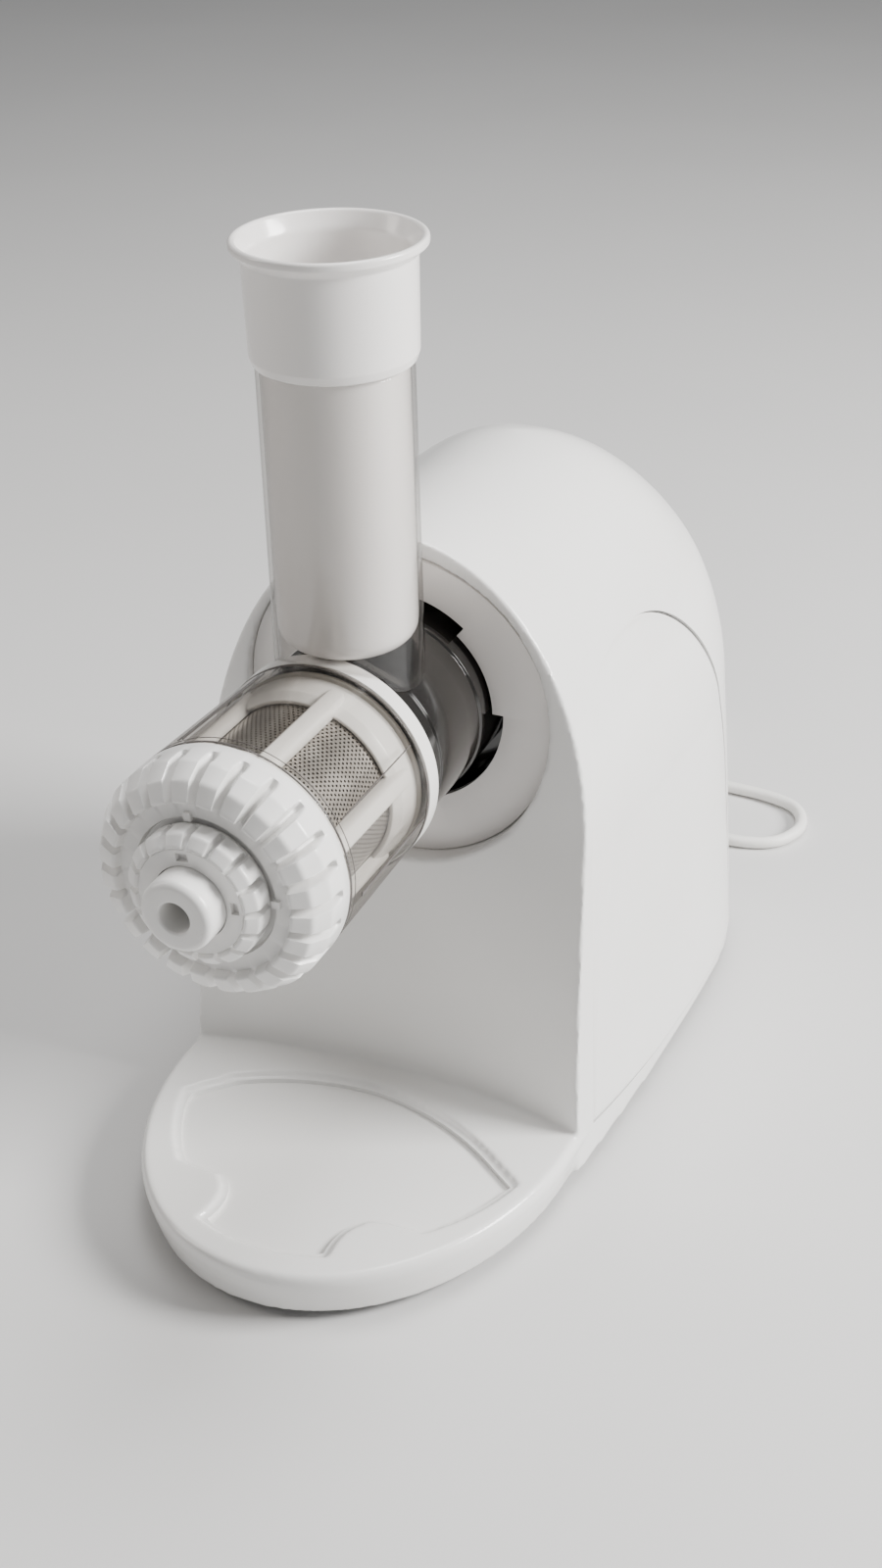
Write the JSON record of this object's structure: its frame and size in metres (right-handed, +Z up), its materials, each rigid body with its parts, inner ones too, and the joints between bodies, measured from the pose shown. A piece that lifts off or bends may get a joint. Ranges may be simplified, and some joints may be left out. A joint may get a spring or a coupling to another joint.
{
  "type": "slow juicer",
  "caption": "Countertop slow juicer: an arched motor housing with a drip tray carries a horizontal screw drum, a clear feed tube with pusher, a strainer, a ring nut and a pulp nozzle.",
  "frame": {"origin": "middle of the footprint of the juicer without its mains lead, on the plane that the feet stand on", "axes": "+Z up, -Y towards the pulp nozzle and the drip tray, +X to the right seen from the nozzle end"},
  "size_m": [0.168, 0.5007, 0.3471],
  "materials": {
    "body_white": "glossy warm-white ABS",
    "trim_white": "satin warm-white ABS",
    "black_gloss": "glossy black",
    "clear_plastic": "clear, slightly smoky, polished",
    "sieve_steel": "perforated stainless sheet",
    "machined_steel": "machined",
    "grey_plastic": "grey moulded nylon",
    "rubber_black": "soft black",
    "silicone": "milky silicone",
    "laminated_steel": "stacked laminations and pressed end bells",
    "copper_winding": "enamelled copper wire",
    "gear_nylon": "natural nylon",
    "cord_white": "soft white PVC"
  },
  "bodies": {
    "base": {"housing_shell": "body_white", "side_cover_right": "trim_white", "side_cover_left": "trim_white", "bottom_plate": "grey_plastic", "bottom_screw_1": "machined_steel", "bottom_screw_2": "machined_steel", "bottom_screw_3": "machined_steel", "bottom_screw_4": "machined_steel", "foot_front_left": "rubber_black", "foot_front_right": "rubber_black", "foot_rear_left": "rubber_black", "foot_rear_right": "rubber_black", "face_plate": "trim_white", "drum_socket": "black_gloss", "shaft_seal": "silicone", "gearbox_cover": "grey_plastic", "gearbox_case": "grey_plastic", "idler_pin": "machined_steel", "output_bearing_front": "machined_steel", "output_bearing_rear": "machined_steel", "motor_stator": "laminated_steel", "winding_front": "copper_winding", "winding_rear": "copper_winding", "motor_end_bell_front": "laminated_steel", "motor_end_bell_rear": "laminated_steel", "motor_bearing_front": "machined_steel", "motor_bearing_rear": "machined_steel", "motor_cradle": "grey_plastic", "run_capacitor": "black_gloss", "terminal_block": "trim_white", "switch_bezel": "black_gloss", "strain_relief": "cord_white", "cord_lead": "cord_white", "cord_coil": "cord_white", "cord_tail": "cord_white", "cord_tie": "black_gloss", "plug_body": "cord_white", "plug_pin_left": "machined_steel", "plug_pin_right": "machined_steel"},
    "rotor": {"motor_shaft": "machined_steel", "motor_pinion": "machined_steel", "rotor_core": "laminated_steel", "cooling_fan": "black_gloss"},
    "idler": {"idler_gear": "machined_steel"},
    "screw_drive": {"drive_shaft": "machined_steel", "output_gear": "gear_nylon", "auger": "black_gloss"},
    "drum": {"drum_body": "black_gloss", "feed_tube": "clear_plastic", "strainer_frame": "body_white", "strainer_mesh": "sieve_steel", "drum_gasket": "silicone", "juice_sleeve": "clear_plastic"},
    "cap": {"cap_nut": "body_white", "nozzle": "trim_white"},
    "knob": {"adjusting_knob": "body_white"},
    "pusher": {"pusher": "body_white"},
    "switch": {"switch_rocker": "black_gloss"}
  },
  "joints": [
    {"name": "motor_spin", "type": "hinge", "parent": "base", "child": "rotor", "pos_m": [0, 0.0821, 0.10865], "axis": [0, 1, 0], "continuous": true},
    {"name": "idler_spin", "type": "hinge", "parent": "base", "child": "idler", "pos_m": [0.03011, 0.0281, 0.13099], "axis": [0, 1, 0], "continuous": true},
    {"name": "screw_spin", "type": "hinge", "parent": "base", "child": "screw_drive", "pos_m": [0, -0.0279, 0.174], "axis": [0, 1, 0], "continuous": true},
    {"name": "drum_twist", "type": "hinge", "parent": "base", "child": "drum", "pos_m": [0, -0.0089, 0.174], "axis": [0, 1, 0], "range_deg": [-28, 0]},
    {"name": "cap_twist", "type": "hinge", "parent": "drum", "child": "cap", "pos_m": [0, -0.1359, 0.174], "axis": [0, 1, 0], "range_deg": [-60, 0]},
    {"name": "knob_turn", "type": "hinge", "parent": "cap", "child": "knob", "pos_m": [0, -0.1539, 0.174], "axis": [0, 1, 0], "range_deg": [-60, 60]},
    {"name": "pusher_slide", "type": "slide", "parent": "drum", "child": "pusher", "axis": [0, 0, 1], "range_m": [0, 0.09]},
    {"name": "switch_rock", "type": "hinge", "parent": "base", "child": "switch", "pos_m": [0, 0.16294, 0.096], "axis": [0, 0, 1], "range_deg": [-12, 12]}
  ],
  "couplings": [
    {"joint": "idler_spin", "follows": "motor_spin", "ratio": -0.25},
    {"joint": "screw_spin", "follows": "motor_spin", "ratio": 0.0625}
  ]
}
